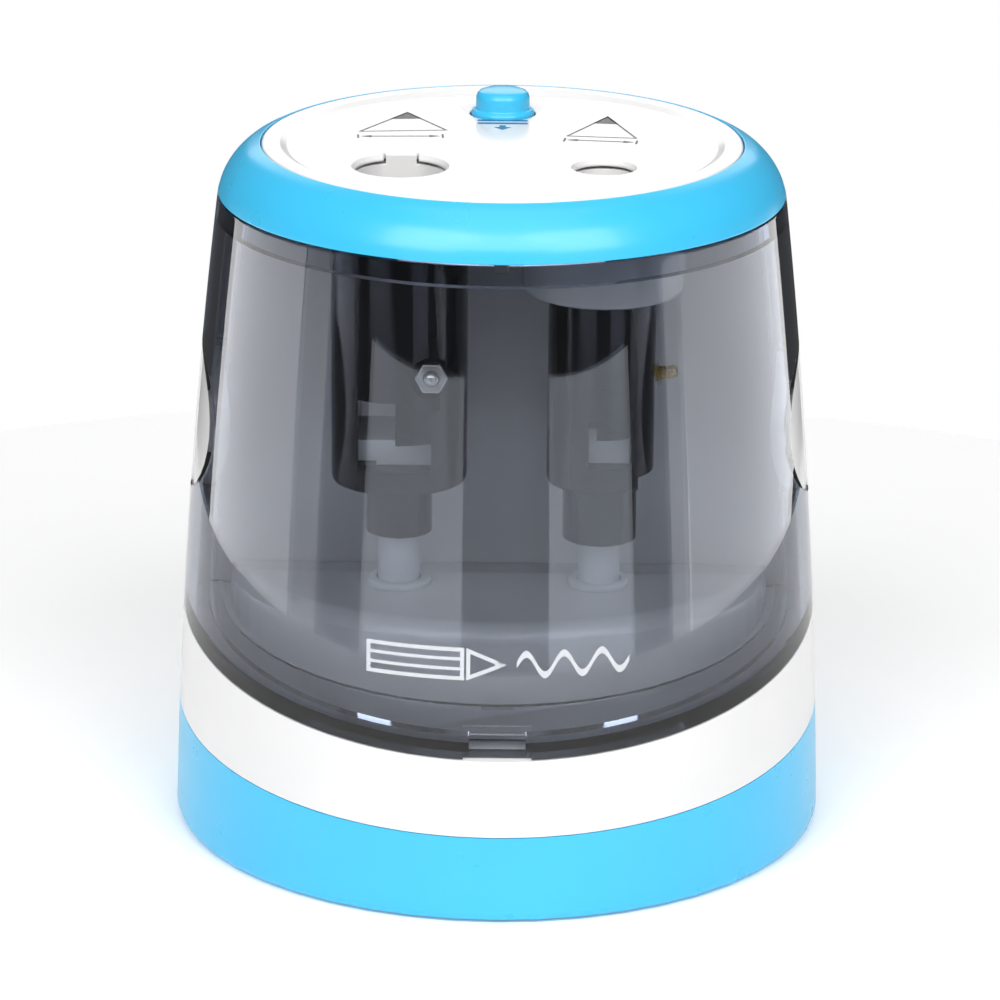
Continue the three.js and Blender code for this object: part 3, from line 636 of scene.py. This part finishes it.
def on_wave(step):
    """A point on the wavy line's middle."""
    x = WAVE_START + WAVE_LENGTH * step / WAVE_STEPS
    return x, PRINT_MIDDLE + WAVE_HEIGHT * math.sin((x - WAVE_START) * WAVE_TURN)


WAVE = []
for k in range(WAVE_STEPS):
    x0, z0 = on_wave(k)
    x1, z1 = on_wave(k + 1)
    low0, low1 = z0 - WAVE_HALF_STROKE, z1 - WAVE_HALF_STROKE
    high0, high1 = z0 + WAVE_HALF_STROKE, z1 + WAVE_HALF_STROKE
    WAVE.append([(x0, low0), (x1, low1), (x1, high1), (x0, high0)])
flat_print(
    "cover_print",
    [*outline(PENCIL, shrink(PENCIL, 0.55)), *outline(POINT, shrink(POINT, 0.55)),
     [(-0.4, 36.77), (1.4, PRINT_MIDDLE), (-0.4, 38.23)], *LINES, *WAVE],
    INK_WHITE, "front_cover", on_cover,
)

# ---------------------------------------------------------------- studio

# In metres and degrees, apart from the sensor and the lens, which are in millimetres.
FLOOR_RADIUS = 0.2
FLOOR_GAP = 0.0002
SENSOR_WIDTH = 36
LENS = 175.788
CAMERA_DOWN = 18.24
CAMERA_ROLL = 0.51
CAMERA_PLACE = (0.0001, -0.6702, 0.2671)
LIGHT_TARGET = Vector((0, 0, 0.05))


def add_area(name, azimuth, elevation, distance, size, watts, color=(1, 1, 1)):
    light = bpy.data.lights.new(name, "AREA")
    light.shape = "RECTANGLE"
    light.size, light.size_y = size
    light.energy = watts
    light.color = color
    lamp = bpy.data.objects.new(name, light)
    turn, tilt = math.radians(azimuth), math.radians(elevation)
    lamp.location = LIGHT_TARGET + distance * Vector(
        (math.sin(turn) * math.cos(tilt), -math.cos(turn) * math.cos(tilt), math.sin(tilt)))
    lamp.rotation_euler = (lamp.location - LIGHT_TARGET).to_track_quat("Z", "Y").to_euler()
    bpy.context.scene.collection.objects.link(lamp)
    return lamp


def add_math(nodes, links, operation, first, second):
    """A Math node on an output and either a plain number or another output."""
    node = nodes.new("ShaderNodeMath")
    node.operation = operation
    links.new(first, node.inputs[0])
    if isinstance(second, float):
        node.inputs[1].default_value = second
    else:
        links.new(second, node.inputs[1])
    return node.outputs[0]


def add_lights():
    """Low panels for the cover's reflections, high ones to light the body, and one behind it."""
    add_area("strip_left", -31, -9, 0.85, (0.55, 0.18), 0.58, (0.9, 0.94, 1.0))
    add_area("strip_right", 33, -9, 0.85, (0.46, 0.18), 0.55, (0.88, 0.93, 1.0))
    add_area("edge_left", -74, -9, 0.9, (0.2, 0.24), 0.2)
    add_area("edge_right", 68, -9, 0.9, (0.13, 0.24), 0.17)
    add_area("side_left", -106, -9.5, 0.9, (0.84, 0.24), 1.75)
    add_area("side_right", 106, -9.5, 0.9, (1.2, 0.24), 2.5)
    add_area("key_left", -35, 42, 0.85, (0.42, 0.5), 3.3)
    add_area("key_right", 35, 42, 0.85, (0.42, 0.5), 3.3)
    add_area("front_fill", 0, 42, 0.85, (0.4, 0.35), 1.6)
    add_area("soft_top", 0, 80, 0.8, (0.55, 0.9), 1.5)
    add_area("back_fill", 180, 30, 1.0, (0.8, 0.6), 2.6)


def build_world():
    """White straight behind the object and through its clear cover, and dim everywhere else."""
    world = bpy.data.worlds.new("studio")
    world.use_nodes = True
    nodes, links = world.node_tree.nodes, world.node_tree.links
    background = nodes["Background"]
    background.inputs["Color"].default_value = (1, 1, 1, 1)
    paths = nodes.new("ShaderNodeLightPath").outputs
    undiffused = add_math(nodes, links, "LESS_THAN", paths["Diffuse Depth"], 0.5)
    unreflected = add_math(nodes, links, "LESS_THAN", paths["Glossy Depth"], 0.5)
    straight = add_math(nodes, links, "MULTIPLY", undiffused, unreflected)
    through = add_math(nodes, links, "MULTIPLY", straight, paths["Is Transmission Ray"])
    seen = add_math(nodes, links, "MAXIMUM", through, paths["Is Camera Ray"])
    level = nodes.new("ShaderNodeMapRange")
    level.inputs["To Min"].default_value = 0.08
    level.inputs["To Max"].default_value = 1.0
    links.new(seen, level.inputs["Value"])
    links.new(level.outputs["Result"], background.inputs["Strength"])
    bpy.context.scene.world = world


def build_floor():
    form = bmesh.new()
    bmesh.ops.create_circle(form, cap_ends=True, segments=96, radius=FLOOR_RADIUS)
    mesh = bpy.data.meshes.new("floor")
    form.to_mesh(mesh)
    form.free()
    floor = bpy.data.objects.new("floor", mesh)
    floor.location = (0, 0, -FLOOR_GAP)
    bpy.context.scene.collection.objects.link(floor)
    material, nodes, links, shader = new_material("floor_pale")
    shader.inputs["Base Color"].default_value = (0.97, 0.97, 0.97, 1)
    shader.inputs["Roughness"].default_value = 0.9
    shader.inputs["Emission Color"].default_value = (1, 1, 1, 1)
    shader.inputs["Emission Strength"].default_value = 0.15
    mesh.materials.append(material)


def add_camera():
    data = bpy.data.cameras.new("photo_camera")
    data.sensor_width = SENSOR_WIDTH
    data.lens = LENS
    data.clip_start = 0.01
    camera = bpy.data.objects.new("photo_camera", data)
    pitch = math.radians(90 - CAMERA_DOWN)
    aim = Matrix.Rotation(pitch, 4, "X") @ Matrix.Rotation(math.radians(CAMERA_ROLL), 4, "Z")
    camera.matrix_world = Matrix.Translation(CAMERA_PLACE) @ aim
    bpy.context.scene.collection.objects.link(camera)
    bpy.context.scene.camera = camera


add_lights()
build_world()
build_floor()
bpy.context.scene.view_settings.view_transform = "Standard"
add_camera()

bpy.context.view_layer.update()
